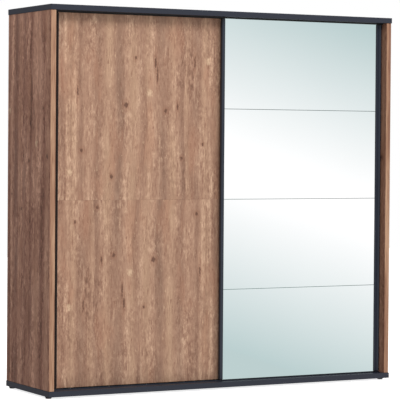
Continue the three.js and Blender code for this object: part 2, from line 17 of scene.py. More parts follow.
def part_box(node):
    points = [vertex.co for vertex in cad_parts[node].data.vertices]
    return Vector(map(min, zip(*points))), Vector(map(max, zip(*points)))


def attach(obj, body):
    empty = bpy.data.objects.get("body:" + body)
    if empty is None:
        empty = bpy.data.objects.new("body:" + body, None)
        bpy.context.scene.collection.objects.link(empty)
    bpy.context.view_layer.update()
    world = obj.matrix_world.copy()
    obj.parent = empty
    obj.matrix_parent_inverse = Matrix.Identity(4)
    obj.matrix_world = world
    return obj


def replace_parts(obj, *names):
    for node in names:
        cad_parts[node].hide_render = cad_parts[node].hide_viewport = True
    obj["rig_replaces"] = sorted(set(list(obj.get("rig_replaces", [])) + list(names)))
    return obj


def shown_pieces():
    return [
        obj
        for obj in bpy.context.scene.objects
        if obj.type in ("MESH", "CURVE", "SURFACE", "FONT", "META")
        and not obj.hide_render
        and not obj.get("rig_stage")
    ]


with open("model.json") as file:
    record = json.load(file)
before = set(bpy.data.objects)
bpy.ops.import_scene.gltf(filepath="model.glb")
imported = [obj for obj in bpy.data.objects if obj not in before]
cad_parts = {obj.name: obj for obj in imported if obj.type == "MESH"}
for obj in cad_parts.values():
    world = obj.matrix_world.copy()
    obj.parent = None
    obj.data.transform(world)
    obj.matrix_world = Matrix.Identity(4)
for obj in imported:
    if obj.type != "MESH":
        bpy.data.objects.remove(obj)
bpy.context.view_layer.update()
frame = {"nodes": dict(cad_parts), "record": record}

MM = 0.001
record = frame["record"]
body_of_node = {}
for body_name, members in record["behaviour"]["bodies"].items():
    for member in members:
        body_of_node[member] = body_name
slot_of_node = {part["node"]: part["material_slot"] for part in record["subparts"]}

# %% [markdown]
# ## The camera
# A catalogue view of tall furniture is taken from far away with a long lens, so the uprights stay
# upright. The lens looks slightly down and the picture plane is shifted, as with a view camera. The
# camera's axes are built one by one: where it looks, what is level for it, and a very small roll.

# %% Stand the camera
CAMERA_PLACE = Vector((-5.431, -10.024, 1.369))
CAMERA_TURN = math.radians(28.357)
CAMERA_TILT = math.radians(-0.894)
CAMERA_ROLL = math.radians(0.417)
CAMERA_LENS_MM = 180.8
CAMERA_SHIFT = (-0.0003, -0.0643)


def stand_camera():
    look = Vector((
        math.sin(CAMERA_TURN) * math.cos(CAMERA_TILT),
        math.cos(CAMERA_TURN) * math.cos(CAMERA_TILT),
        math.sin(CAMERA_TILT),
    ))
    level = Vector((math.cos(CAMERA_TURN), -math.sin(CAMERA_TURN), 0))
    upright = level.cross(look)
    right = math.cos(CAMERA_ROLL) * level + math.sin(CAMERA_ROLL) * upright
    up = math.cos(CAMERA_ROLL) * upright - math.sin(CAMERA_ROLL) * level
    data = bpy.data.cameras.new("catalogue camera")
    data.lens = CAMERA_LENS_MM
    data.shift_x, data.shift_y = CAMERA_SHIFT
    data.clip_end = 100
    camera = bpy.data.objects.new("catalogue camera", data)
    bpy.context.scene.collection.objects.link(camera)
    axes = Matrix((right, up, -look)).transposed().to_4x4()
    camera.matrix_world = Matrix.Translation(CAMERA_PLACE) @ axes
    bpy.context.scene.camera = camera
    return camera


print("camera:", stand_camera().name)

# %% [markdown]
# ## Tools for node trees
# A finish is a small tree of nodes. These helpers make one node, wire a value or a link into a socket,
# and wrap the few sums that every finish needs, so a finish below reads like a recipe. Colours are given
# as they look on a screen, from 0 to 255, and turned into the linear light that Blender counts in.

# %% Node helpers
def linear(red, green, blue):
    channels = []
    for value in (red, green, blue):
        share = value / 255
        channels.append(share / 12.92 if share <= 0.04045 else ((share + 0.055) / 1.055) ** 2.4)
    return (*channels, 1.0)


def put(tree, kind, **settings):
    made = tree.nodes.new(kind)
    for key, value in settings.items():
        setattr(made, key, value)
    return made


def feed(tree, socket, value):
    if isinstance(value, bpy.types.NodeSocket):
        tree.links.new(value, socket)
    else:
        socket.default_value = value

# %% [markdown]
# A sum can't be written as a formula in a finish: each addition or comparison is one node. These helpers
# put such a node down and give back its result, so that sums can be nested as in ordinary code. The last
# two turn a number into another range, or into a colour along a ramp.

# %% Sums, mixes and ramps
def sums(tree, operation, *values):
    """One sum on plain numbers."""
    made = put(tree, "ShaderNodeMath", operation=operation)
    for socket, value in zip(made.inputs, values):
        feed(tree, socket, value)
    return made.outputs[0]


def vectors(tree, operation, *values, output="Vector"):
    """One sum on whole vectors or colours."""
    made = put(tree, "ShaderNodeVectorMath", operation=operation)
    for socket, value in zip(made.inputs, values):
        feed(tree, socket, value)
    return made.outputs[output]


def axis_of(tree, vector, axis):
    """One of the three numbers of a vector."""
    made = put(tree, "ShaderNodeSeparateXYZ")
    feed(tree, made.inputs[0], vector)
    return made.outputs[axis]


def blend_colour(tree, share, first, second, kind="MIX"):
    made = put(tree, "ShaderNodeMix", data_type="RGBA", blend_type=kind)
    feed(tree, made.inputs[0], share)
    feed(tree, made.inputs[6], first)
    feed(tree, made.inputs[7], second)
    return made.outputs[2]


def remap(tree, value, low, high, to_low=0.0, to_high=1.0, kind="SMOOTHSTEP"):
    made = put(tree, "ShaderNodeMapRange", interpolation_type=kind)
    feed(tree, made.inputs["Value"], value)
    made.inputs["From Min"].default_value = low
    made.inputs["From Max"].default_value = high
    made.inputs["To Min"].default_value = to_low
    made.inputs["To Max"].default_value = to_high
    return made.outputs["Result"]


def ramp(tree, value, stops):
    made = put(tree, "ShaderNodeValToRGB")
    feed(tree, made.inputs["Fac"], value)
    band = made.color_ramp
    while len(band.elements) < len(stops):
        band.elements.new(0.5)
    for element, (place, colour) in zip(band.elements, stops):
        element.position = place
        element.color = colour
    return made.outputs["Color"]

# %% [markdown]
# Noise is the raw material of every finish here. It is read at a place, and the place can be moved,
# turned and stretched first, which makes streaks of it. A relief is a bump: it bends the light and leaves
# the shape alone.

# %% Noise, relief and an empty finish
def mapped(tree, vector, move=(0, 0, 0), turn=(0, 0, 0), size=(1, 1, 1)):
    made = put(tree, "ShaderNodeMapping")
    feed(tree, made.inputs["Vector"], vector)
    made.inputs["Location"].default_value = move
    made.inputs["Rotation"].default_value = [math.radians(angle) for angle in turn]
    made.inputs["Scale"].default_value = size
    return made.outputs["Vector"]


def noise(tree, vector, scale, detail=2.0, roughness=0.5, output="Fac"):
    made = put(tree, "ShaderNodeTexNoise")
    feed(tree, made.inputs["Vector"], vector)
    made.inputs["Scale"].default_value = scale
    made.inputs["Detail"].default_value = detail
    made.inputs["Roughness"].default_value = roughness
    return made.outputs[output]


def streaks(tree, place, size, move=(0, 0, 0), detail=3.0, roughness=0.6):
    """A noise stretched by its size along each axis: a small number makes it long."""
    return noise(tree, mapped(tree, place, move=move, size=size), 1.0, detail, roughness)


def bump(tree, shader, height, distance, strength=1.0):
    made = put(tree, "ShaderNodeBump")
    made.inputs["Strength"].default_value = strength
    made.inputs["Distance"].default_value = distance
    feed(tree, made.inputs["Height"], height)
    tree.links.new(made.outputs["Normal"], shader.inputs["Normal"])


def new_finish(name, metallic=0.0, specular=0.5):
    material = bpy.data.materials.new(name)
    material.use_nodes = True
    tree = material.node_tree
    shader = tree.nodes["Principled BSDF"]
    shader.inputs["Metallic"].default_value = metallic
    shader.inputs["Specular IOR Level"].default_value = specular
    place = put(tree, "ShaderNodeTexCoord").outputs["Object"]
    return material, tree, shader, place


def grey(level):
    return linear(level, level, level)


# %% [markdown]
# ## Light
# The room is one soft dome, brighter from the right and the front than from the left, with a little more
# light from above. Satin surfaces reflect at least a mid grey room, so that dark boards keep a soft
# sheen. What the mirrors see is a wall of light with a bright band at eye height. Only perfectly sharp
# reflections see that wall: the Light Path node tells them from all other rays. The band slants a little,
# because the wall stands at an angle to the wardrobe.

# %% The dome and the wall of light
KEY_DIRECTION = (0.76, -0.65, 0.0)
KEY_COLOUR = (1.14, 1.11, 1.06, 1.0)
FILL_COLOUR = (0.0, 0.0, 0.02, 1.0)
WHITE = (1, 1, 1, 1)
OVERHEAD = 0.1
GLOSS_LEAST = (0.50, 0.48, 0.47)
BAND_REACH = (0.285, 0.685, -0.2, 0.2)
BAND_SLANT = -0.394
BAND_HEIGHT = -0.0106
WALL_PEAK = (1.667, 1.570, 1.575)
WALL_FALL = (-10.0, -7.3, -7.3)
WALL_LEAST = (0.76, 0.90, 0.90)
WALL_RISE = (0.10, 0.55, 0.0, 0.55)


def dome_light(tree, toward):
    facing = vectors(tree, "DOT_PRODUCT", toward, KEY_DIRECTION, output="Value")
    dome = blend_colour(tree, sums(tree, "MULTIPLY_ADD", facing, 0.5, 0.5), FILL_COLOUR, KEY_COLOUR)
    above = sums(tree, "MULTIPLY", sums(tree, "MAXIMUM", axis_of(tree, toward, "Z"), 0.0), OVERHEAD)
    return vectors(tree, "ADD", dome, above)


def wall_light(tree, toward):
    reach = remap(tree, axis_of(tree, toward, "X"), *BAND_REACH, kind="LINEAR")
    centre = sums(tree, "ADD", sums(tree, "MULTIPLY", reach, BAND_SLANT), BAND_HEIGHT)
    away = sums(tree, "ABSOLUTE", sums(tree, "SUBTRACT", axis_of(tree, toward, "Z"), centre))
    falling = vectors(tree, "MULTIPLY_ADD", away, WALL_FALL, WALL_PEAK)
    rising = vectors(tree, "ADD", remap(tree, away, *WALL_RISE), WALL_LEAST)
    return vectors(tree, "MAXIMUM", falling, rising)


def build_studio():
    scene = bpy.context.scene
    scene.view_settings.view_transform = "Standard"
    world = bpy.data.worlds.new("soft studio")
    world.use_nodes = True
    scene.world = world
    tree = world.node_tree
    toward = put(tree, "ShaderNodeTexCoord").outputs["Generated"]
    path = put(tree, "ShaderNodeLightPath").outputs
    dome = dome_light(tree, toward)
    seen = blend_colour(tree, path["Is Glossy Ray"], dome, vectors(tree, "MAXIMUM", dome, GLOSS_LEAST))
    first = sums(tree, "LESS_THAN", path["Diffuse Depth"], 0.5)
    in_mirror = sums(tree, "MULTIPLY", path["Is Singular Ray"], first)
    seen = blend_colour(tree, in_mirror, seen, wall_light(tree, toward))
    seen = blend_colour(tree, path["Is Camera Ray"], seen, WHITE)
    feed(tree, tree.nodes["Background"].inputs["Color"], seen)
    return world


print("world:", build_studio().name)

# %% [markdown]
# ## Two soft boxes
# A large soft box hangs high in front. Its light falls off from the top of the doors to the bottom, and
# leaves the shadow of the top plate on them. A smaller one hangs at the left and lights the side panel.
# Neither shows in satin surfaces. Each is placed by its tilt from straight down and its turn about the
# upright axis.

# %% Hang the soft boxes
def hang_softbox(name, place, tilt, turn, size, power):
    bpy.ops.object.light_add(
        type="AREA", location=place, rotation=(math.radians(tilt), 0, math.radians(turn)))
    lamp = bpy.context.active_object
    lamp.name = name
    lamp.data.shape = "RECTANGLE"
    lamp.data.size, lamp.data.size_y = size
    lamp.data.energy = power
    lamp.visible_glossy = False


hang_softbox("front_softbox", (-0.3, -4.2, 5.15), 46, 0, (5.0, 1.8), 128.0)
hang_softbox("side_softbox", (-4.5, 0.1, 4.2), 49, -90, (2.0, 1.8), 43.0)
print("lights:", [light.name for light in bpy.data.lights])

# %% [markdown]
# ## Floor
# The floor is pale and matt, and it glows enough to burn out to white. It lies half a millimetre under
# the feet. Other pieces don't pick up its light, which keeps the underside of the plates dark.

# %% Lay the floor
FLOOR_SIZE = 24
FLOOR_BELOW = 0.5 * MM
FLOOR_GLOW = 0.8


def lay_floor():
    bpy.ops.object.select_all(action="DESELECT")
    bpy.ops.mesh.primitive_plane_add(size=FLOOR_SIZE, location=(0, 0, -FLOOR_BELOW))
    floor = bpy.context.active_object
    floor.name = "studio_floor"
    material, tree, shader, place = new_finish("pale floor", specular=0.1)
    mottle = noise(tree, place, 3.0)
    feed(tree, shader.inputs["Base Color"], ramp(tree, mottle, [(0.3, grey(246)), (0.7, grey(250))]))
    shader.inputs["Roughness"].default_value = 0.9
    shader.inputs["Emission Color"].default_value = WHITE
    shader.inputs["Emission Strength"].default_value = FLOOR_GLOW
    floor.data.materials.append(material)
    floor.visible_glossy = False
    floor.visible_diffuse = False
    floor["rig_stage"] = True
    return floor


print("floor:", lay_floor().name)

# %% [markdown]
# ## Oak decor
# The boards are not oak: they are particleboard under a printed paper, pressed with melamine. The print
# is a rustic oak with long straight grain. Dark and light bands run up the board and fade in and out.
# Fine lines follow them, and knots, dashes and pale flecks are scattered over it. Bands, knots and flecks
# are listed one by one, because a print repeats them: the lower board of the door carries the same print,
# turned upside down. The first dark band is painted shade along the edges of the door boards. Each knot is
# a stretched distance field, and the nearest one wins.

# %% Knots, flecks and bands of the print
KNOTS = (
    # across, up, half width, half height, in metres on the upper door board
    (-0.595, 1.572, 0.011, 0.014),
    (-0.537, 1.830, 0.007, 0.008),
    (-0.416, 1.805, 0.005, 0.030),
    (-0.405, 1.735, 0.004, 0.034),
    (-0.352, 1.544, 0.008, 0.009),
    (-0.279, 1.570, 0.005, 0.016),
    (-0.171, 1.810, 0.004, 0.030),
    (-0.861, 1.324, 0.007, 0.009),
    (-0.680, 1.183, 0.008, 0.010),
    (-0.252, 1.283, 0.007, 0.008),
    (-0.884, 1.640, 0.004, 0.024),
    (-0.120, 1.360, 0.005, 0.008),
)
FLECKS = (
    (-0.452, 1.640, 0.010, 0.013),
    (-0.087, 1.820, 0.009, 0.012),
    (-0.930, 1.207, 0.009, 0.013),
)
DARK_BAND = (138, 107, 90)
LIGHT_BAND = (196, 161, 133)
BANDS = (
    # centre and half width across the board, light or dark, strength
    # painted shade: this first dark band darkens the upper board's left edge beside the side panel, and the
    # lower board's right edge
    (-0.985, 0.030, DARK_BAND, 0.45),
    (-0.920, 0.050, LIGHT_BAND, 0.45),
    (-0.865, 0.034, DARK_BAND, 0.35),
    (-0.765, 0.034, DARK_BAND, 0.40),
    (-0.700, 0.046, LIGHT_BAND, 0.65),
    (-0.635, 0.046, DARK_BAND, 0.85),
    (-0.550, 0.050, LIGHT_BAND, 0.70),
    (-0.500, 0.026, DARK_BAND, 0.35),
    (-0.455, 0.040, LIGHT_BAND, 0.60),
    (-0.370, 0.050, DARK_BAND, 0.70),
    (-0.310, 0.040, LIGHT_BAND, 0.60),
    (-0.250, 0.032, DARK_BAND, 0.50),
    (-0.215, 0.030, LIGHT_BAND, 0.40),
    (-0.155, 0.040, DARK_BAND, 0.50),
    (-0.105, 0.032, LIGHT_BAND, 0.45),
)
SIDE_BANDS = (
    # the same, for the side panels
    (-0.600, 0.045, LIGHT_BAND, 0.80),
    (-0.515, 0.028, DARK_BAND, 0.45),
    (-0.450, 0.045, LIGHT_BAND, 0.75),
    (-0.385, 0.022, DARK_BAND, 0.50),
    (-0.345, 0.022, LIGHT_BAND, 0.50),
    (-0.295, 0.030, DARK_BAND, 0.70),
    (-0.240, 0.030, LIGHT_BAND, 0.60),
    (-0.180, 0.045, DARK_BAND, 1.00),
    (-0.120, 0.020, LIGHT_BAND, 0.30),
    (-0.080, 0.030, DARK_BAND, 0.60),
)

# %% [markdown]
# The tone of the print is a sum of stretched noises around a middle tone, from broad clouds to short
# fibres. The finer ones gather in clumps. The sum runs through one ramp of brown shades. A soft wobble
# bends the whole print, so no line is quite straight. The relief pressed into the surface is very
# shallow.

# %% Tones of the oak
SHADES = ((0.10, (90, 60, 46)), (0.36, (148, 111, 92)), (0.52, (178, 140, 117)), (0.85, (240, 203, 173)))
BLUSH = (178, 128, 102)
DASH = (128, 86, 68)
GLINT = (224, 190, 158)
KNOT_RING = (140, 96, 74)
KNOT_HEART = (92, 60, 48)
FLECK = (222, 192, 160)
LINE = (210, 199, 194)
WOBBLE = 0.060
BAND_SHARE = 0.8
PRINT_LAYERS = (
    # shift, size, detail, roughness, weight, follows the contrast, gathers in clumps
    (3.0, (9, 9, 0.3), 1.0, 0.5, 0.10, False, False),
    (4.0, (15, 15, 0.5), 3.0, 0.6, 0.26, True, False),
    (5.0, (18, 18, 2.6), 5.0, 0.66, 0.48, True, False),
    (7.0, (34, 34, 0.5), 4.0, 0.62, 0.50, True, True),
    (9.0, (84, 84, 36), 4.0, 0.65, 0.60, True, True),
)

# %% [markdown]
# Four helpers make the parts of the print: the knots, the wobble, the layers of tone and the bands.

# %% Parts of the print
def nearest(tree, place, spots):
    """The distance to the nearest spot, counted in that spot's own half sizes."""
    least = None
    for across, up, half_width, half_height in spots:
        local = mapped(
            tree, place,
            move=(-across / half_width, 0, -up / half_height),
            size=(1 / half_width, 0, 1 / half_height),
        )
        distance = vectors(tree, "LENGTH", local, output="Value")
        least = distance if least is None else sums(tree, "MINIMUM", least, distance)
    return least


def wobbled(tree, place):
    """The place pushed left or right by a slow noise."""
    wobble = noise(tree, mapped(tree, place, size=(4, 4, 1.2)), 1.0, 2.0, output="Color")
    pushed = vectors(tree, "MULTIPLY_ADD", wobble, (WOBBLE, 0, 0), (-WOBBLE / 2, 0, 0))
    return vectors(tree, "ADD", place, pushed)


def layered(tree, place, clump, contrast):
    """The layers of the print added around the middle tone."""
    tone = 0.5
    for shift, size, detail, roughness, weight, contrasted, clumped in PRINT_LAYERS:
        layer = streaks(tree, place, size, (shift, 0, shift), detail, roughness)
        share = weight * contrast if contrasted else weight
        moved = sums(tree, "MULTIPLY", sums(tree, "SUBTRACT", layer, 0.5), share)
        if clumped:
            moved = sums(tree, "MULTIPLY", moved, clump)
        tone = sums(tree, "ADD", moved, tone)
    return tone


def banded(tree, colour, place, bands):
    """The colour with the bands laid over it, each fading in and out along its length."""
    across = axis_of(tree, place, "X")
    fading = remap(tree, streaks(tree, place, (7, 7, 2.6), (6, 0, 2)), 0.36, 0.62, 0.35, 1.15)
    for centre, half_width, band_colour, strength in bands:
        away = sums(tree, "ABSOLUTE", sums(tree, "SUBTRACT", across, centre))
        share = remap(tree, away, 0.0, half_width, strength * BAND_SHARE, 0.0)
        colour = blend_colour(tree, sums(tree, "MULTIPLY", share, fading), colour, linear(*band_colour))
    return colour

# %% [markdown]
# The finish lays the parts over one another: the tone and its bands, a tint, a red blush, fine lines,
# dark dashes and pale glints, and last the knots and flecks with ragged rims. The side panels show
# another part of the print, with stronger contrast, because they are pressed from another sheet. Their
# tint takes some green and blue out of the print, for the hue of their shaded faces: painted shade. The
# lower door board turns the print over.

# %% The oak finish
def oak_finish(name, bands=BANDS, move=(0, 0, 0), turn=(0, 0, 0), contrast=1.0, shade_tint=(255, 255, 255)):
    """The print, moved and turned in metres and degrees to where the board shows it."""
    material, tree, shader, place = new_finish(name, specular=0.35)
    print_place = mapped(tree, place, move=move, turn=turn)
    grain = wobbled(tree, print_place)
    clump = remap(tree, streaks(tree, grain, (13, 13, 3.5), (2, 0, 5)), 0.40, 0.62, 0.45, 1.5)
    tone = layered(tree, grain, clump, contrast)
    colour = ramp(tree, tone, [(level, linear(*shade)) for level, shade in SHADES])
    colour = banded(tree, colour, grain, bands)
    # painted shade colour: the tint multiplies the print, and on the side panels it gives the hue of their
    # shade
    colour = blend_colour(tree, 1.0, colour, linear(*shade_tint), "MULTIPLY")
    blush = streaks(tree, grain, (11, 11, 2.4), (7, 0, 1))
    colour = blend_colour(tree, remap(tree, blush, 0.52, 0.70, 0.0, 0.35), colour, linear(*BLUSH))

    lines = streaks(tree, grain, (420, 420, 18), detail=2.0)
    colour = blend_colour(tree, 1.0, colour, ramp(tree, lines, [
        (0.30, linear(*LINE)), (0.48, grey(248)), (0.70, grey(255)),
    ]), "MULTIPLY")
    dashes = streaks(tree, grain, (150, 150, 24), (1, 2, 3), 2.0)
    colour = blend_colour(tree, remap(tree, dashes, 0.60, 0.70, 0.0, 0.55), colour, linear(*DASH))
    glints = streaks(tree, grain, (120, 120, 34), (5, 4, 7), 3.0, 0.7)
    colour = blend_colour(tree, remap(tree, glints, 0.60, 0.74, 0.0, 0.5), colour, linear(*GLINT))

    rough_edge = streaks(tree, print_place, (110, 110, 70), roughness=0.5)
    reach = sums(tree, "MULTIPLY", sums(tree, "SUBTRACT", rough_edge, 0.5), 3.2)
    knot = sums(tree, "ADD", nearest(tree, print_place, KNOTS), reach)
    fleck = sums(tree, "ADD", nearest(tree, print_place, FLECKS), sums(tree, "MULTIPLY", reach, 1.3))
    colour = blend_colour(tree, remap(tree, knot, 1.0, 4.0, 0.38, 0.0), colour, linear(*KNOT_RING))
    colour = blend_colour(tree, remap(tree, knot, 0.5, 1.5, 0.80, 0.0), colour, linear(*KNOT_HEART))
    colour = blend_colour(tree, remap(tree, fleck, 0.4, 2.2, 0.65, 0.0), colour, linear(*FLECK))
    feed(tree, shader.inputs["Base Color"], colour)
    feed(tree, shader.inputs["Roughness"], remap(tree, tone, 0.35, 0.65, 0.62, 0.52))
    bump(tree, shader, lines, 0.00012, 0.6)
    return material


finishes = {}
# painted shade colour: the side panels' tint takes green and blue out of the print, for the hue of their
# shaded faces
finishes["oak_decor"] = oak_finish(
    "oak decor, side panels", SIDE_BANDS, move=(-0.35, 0, 0.28), turn=(0, 0, -90), contrast=1.7,
    shade_tint=(251, 235, 235))
oak_upper = oak_finish("oak decor, upper door board")
oak_lower = oak_finish("oak decor, lower door board", move=(-1.016, 0, 2.30), turn=(0, 180, 0))
print("oak finishes:", finishes["oak_decor"].name, oak_upper.name, oak_lower.name)

# %% [markdown]
# ## Edge band of the oak boards
# The front edges of the side panels carry a band of plastic, printed in the light tone of the same oak. A
# band is too narrow for knots, so it only has fine lines along its length and a slow change of tone.

# %% The oak band
def oak_band_finish():
    material, tree, shader, place = new_finish("oak edge band", specular=0.35)
    tone = streaks(tree, place, (40, 40, 2.6), roughness=0.5)
    colour = ramp(tree, tone, [
        (0.34, linear(148, 106, 84)), (0.48, linear(171, 130, 104)), (0.66, linear(194, 156, 127)),
    ])
    lines = streaks(tree, place, (300, 300, 9))
    colour = blend_colour(tree, 1.0, colour, ramp(tree, lines, [
        (0.32, linear(205, 190, 182)), (0.52, grey(250)), (0.75, grey(255)),
    ]), "MULTIPLY")
    feed(tree, shader.inputs["Base Color"], colour)
    shader.inputs["Roughness"].default_value = 0.5
    bump(tree, shader, lines, 0.0001, 0.4)
    return material


oak_band = oak_band_finish()
print("edge band:", oak_band.name)

# %% [markdown]
# ## Plain finishes
# The rest of the wardrobe needs calmer finishes. Each has its own grain at its own scale: the fine pearl
# of an anthracite melamine, the orange peel of a powder coat, the fibres of a raw board, the drawn lines
# of zinc and chrome, the moulded skin of a plastic. The mirror door's profiles are coated anthracite. The
# wooden door's profiles get a darker, browner copy of that coat, which is painted shade for their recess.

# %% Speckled finishes
def speckled(name, dark, light, scale, roughness, relief, metallic=0.0, specular=0.3, stretch=(1, 1, 1)):
    """A finish of two close tones mottled at one scale, with a relief of the same grain."""
    material, tree, shader, place = new_finish(name, metallic, specular)
    fine = noise(tree, mapped(tree, place, size=stretch), scale, 3.0, 0.6)
    slow = noise(tree, place, 4.0, 2.0)
    mottle = sums(tree, "MULTIPLY_ADD", slow, 0.35, sums(tree, "MULTIPLY", fine, 0.65))
    colour = ramp(tree, mottle, [(0.36, linear(*dark)), (0.64, linear(*light))])
    feed(tree, shader.inputs["Base Color"], colour)
    dull = remap(tree, mottle, 0.35, 0.65, roughness - 0.05, roughness + 0.05)
    feed(tree, shader.inputs["Roughness"], dull)
    bump(tree, shader, fine, relief)
    return material


finishes["anthracite_decor"] = speckled(
    "anthracite decor", (35, 40, 52), (44, 49, 63), 900, 0.5, 0.00004)
finishes["anthracite_aluminium"] = speckled(
    "anthracite powder coat", (33, 40, 52), (44, 51, 65), 1400, 0.42, 0.00003)
# painted shade: a darker, browner copy of the anthracite coat, for the wooden door's profiles in the shaded
# gap beside the side panel
shaded_profile_coat = speckled(
    "profile coat with painted shade", (26, 15, 12), (36, 23, 19), 1400, 0.5, 0.00003, specular=0.15)
finishes["black_plastic"] = speckled(
    "black moulded plastic", (20, 20, 22), (27, 27, 29), 700, 0.5, 0.00005)
finishes["grey_nylon"] = speckled(
    "grey nylon", (104, 107, 111), (118, 120, 124), 300, 0.42, 0.00003)
finishes["zinced_steel"] = speckled(
    "bright zinc", (164, 167, 172), (184, 187, 192), 60, 0.32, 0.00001, metallic=1.0, specular=0.5,
    stretch=(1, 0.05, 1))
rail_chrome = speckled(
    "chromed tube", (190, 192, 194), (198, 200, 202), 90, 0.16, 0.000005, metallic=1.0, specular=0.5,
    stretch=(0.03, 1, 1))
finishes["fibreboard"] = speckled(
    "raw fibreboard", (120, 90, 62), (152, 118, 86), 260, 0.85, 0.0002, specular=0.2)
finishes["brush_pile"] = speckled(
    "dark pile", (26, 26, 29), (44, 44, 48), 1800, 0.9, 0.0001, specular=0.15, stretch=(1, 1, 0.2))
print("plain finishes:", len(finishes))

# %% [markdown]
# ## Linen print
# The inside of such a wardrobe is printed with a pale linen. Three noises, each stretched along one axis,
# stand for the threads, so boards that lie, stand or face sideways all show two crossing sets of them.
# The back panels are printed on the inside only: behind, they are raw brown pressed fibre.

# %% Linen for shelves, partition and back
def linen(name, dark, light, roughness, rear=None):
    """A crossed weave of two tones. With a rear pair, faces that look back are raw pressed fibre."""
    material, tree, shader, place = new_finish(name, specular=0.3)
    threads = [streaks(tree, place, size, detail=2.0, roughness=0.5)
               for size in ((60, 1500, 1500), (1500, 60, 1500), (1500, 1500, 60))]
    weave = sums(tree, "MULTIPLY", sums(tree, "ADD", sums(tree, "ADD", *threads[:2]), threads[2]), 1 / 3)
    colour = ramp(tree, weave, [(0.36, linear(*dark)), (0.64, linear(*light))])
    if rear:
        fibre = noise(tree, place, 260.0, 4.0, 0.7)
        cloudy = sums(tree, "MULTIPLY", noise(tree, place, 3.0, 4.0, 0.6), 0.3)
        fibre = sums(tree, "ADD", sums(tree, "MULTIPLY", fibre, 0.7), cloudy)
        raw = ramp(tree, fibre, [(0.34, linear(*rear[0])), (0.66, linear(*rear[1]))])
        glance = axis_of(tree, put(tree, "ShaderNodeNewGeometry").outputs["True Normal"], "Y")
        colour = blend_colour(tree, remap(tree, glance, 0.4, 0.6), colour, raw)
    feed(tree, shader.inputs["Base Color"], colour)
    shader.inputs["Roughness"].default_value = roughness
    bump(tree, shader, weave, 0.00008, 0.7)
    return material


finishes["interior_decor"] = linen("linen decor", (168, 157, 140), (192, 181, 165), 0.55)
finishes["backboard"] = linen(
    "pale hardboard", (198, 191, 180), (214, 208, 198), 0.7, rear=((146, 112, 82), (182, 146, 112)))
print("linen finishes:", finishes["interior_decor"].name, "and", finishes["backboard"].name)

# %% [markdown]
# ## Mirror
# A mirror pane is float glass with silver behind it. Seen from the front it is a perfect metal with the
# faint blue-green of the glass. Its polished edges show the green of the glass itself. The side of the
# pane that a face belongs to tells the two apart: front and back faces look along Y, edges don't.

# %% Silvered glass
def mirror_finish():
    material, tree, shader, place = new_finish("silvered glass", metallic=1.0)
    glance = axis_of(tree, put(tree, "ShaderNodeNewGeometry").outputs["True Normal"], "Y")
    flat = remap(tree, sums(tree, "ABSOLUTE", glance), 0.90, 0.97)
    haze = noise(tree, place, 1.6, 2.0)
    silver = ramp(tree, haze, [(0.3, (0.655, 0.685, 0.685, 1)), (0.7, (0.665, 0.695, 0.695, 1))])
    feed(tree, shader.inputs["Base Color"], blend_colour(tree, flat, linear(120, 152, 146), silver))
    shader.inputs["Roughness"].default_value = 0.0
    return material


finishes["mirror_glass"] = mirror_finish()
print("finishes:", sorted(finishes))

# %% [markdown]
# ## Working on a piece
# Every visible board starts as a copy of its measured solid, so nothing moves and nothing changes size.
# The copy's loose triangles are merged and its flat faces made whole, and then its edges are eased with a
# Bevel modifier. A sharp edge catches no light, and no real board has one. Hardened normals keep the
# large faces flat.

# %% Helpers for pieces
SHARP_ANGLE = 32


def activate(piece):
    bpy.ops.object.select_all(action="DESELECT")
    piece.select_set(True)
    bpy.context.view_layer.objects.active = piece


def copy_of_node(node, name):
    source = frame["nodes"][node]
    mesh = source.data.copy()
    mesh.materials.clear()
    piece = bpy.data.objects.new(name, mesh)
    bpy.context.scene.collection.objects.link(piece)
    activate(piece)
    if mesh.has_custom_normals:
        bpy.ops.mesh.customdata_custom_splitnormals_clear()
    bpy.ops.object.mode_set(mode="EDIT")
    bpy.ops.mesh.select_all(action="SELECT")
    bpy.ops.mesh.remove_doubles(threshold=0.00002)
    bpy.ops.mesh.dissolve_limited(angle_limit=math.radians(0.5))
    bpy.ops.object.mode_set(mode="OBJECT")
    return piece


def ease(piece, width, segments=2):
    """Rounds the sharp edges by a width in metres."""
    activate(piece)
    bpy.ops.object.shade_smooth()
    bevel = piece.modifiers.new("eased edges", "BEVEL")
    bevel.width = width
    bevel.segments = segments
    bevel.limit_method = "ANGLE"
    bevel.angle_limit = math.radians(SHARP_ANGLE)
    bevel.harden_normals = True
    bpy.ops.object.modifier_apply(modifier=bevel.name)
    return piece


def slice_off(piece, name, point, outward):
    """Cuts the piece at a plane and returns what lies beyond it as a new piece."""
    beyond = bpy.data.objects.new(name, piece.data.copy())
    bpy.context.scene.collection.objects.link(beyond)
    for target, clearing in ((piece, "clear_outer"), (beyond, "clear_inner")):
        activate(target)
        bpy.ops.object.mode_set(mode="EDIT")
        bpy.ops.mesh.select_all(action="SELECT")
        bpy.ops.mesh.bisect(plane_co=point, plane_no=outward, use_fill=True, **{clearing: True})
        bpy.ops.object.mode_set(mode="OBJECT")
    return beyond


def dress(piece, body, slot, finish=None, node=None):
    """Gives the piece its finish, its body, its slot and the solid it stands for."""
    piece.data.materials.clear()
    piece.data.materials.append(finish or finishes[slot])
    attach(piece, body)
    if node:
        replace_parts(piece, node)
    return piece


# %% [markdown]
# ## Boards with edge bands
# A furniture board is cut from a large sheet, and the raw edges that show are covered with a band about 1
# mm thick. The band is cut from the copy at a plane, so that a fine line stays between it and the board,
# as on the real thing. The plates are banded on three sides and the uprights and shelves only in front.

# %% Carcass boards
BAND = 1.0 * MM
BOARD_EASE = 0.25 * MM
BAND_EASE = 0.42 * MM
SIDES = {"front": (0, -1, 0), "left": (-1, 0, 0), "right": (1, 0, 0)}


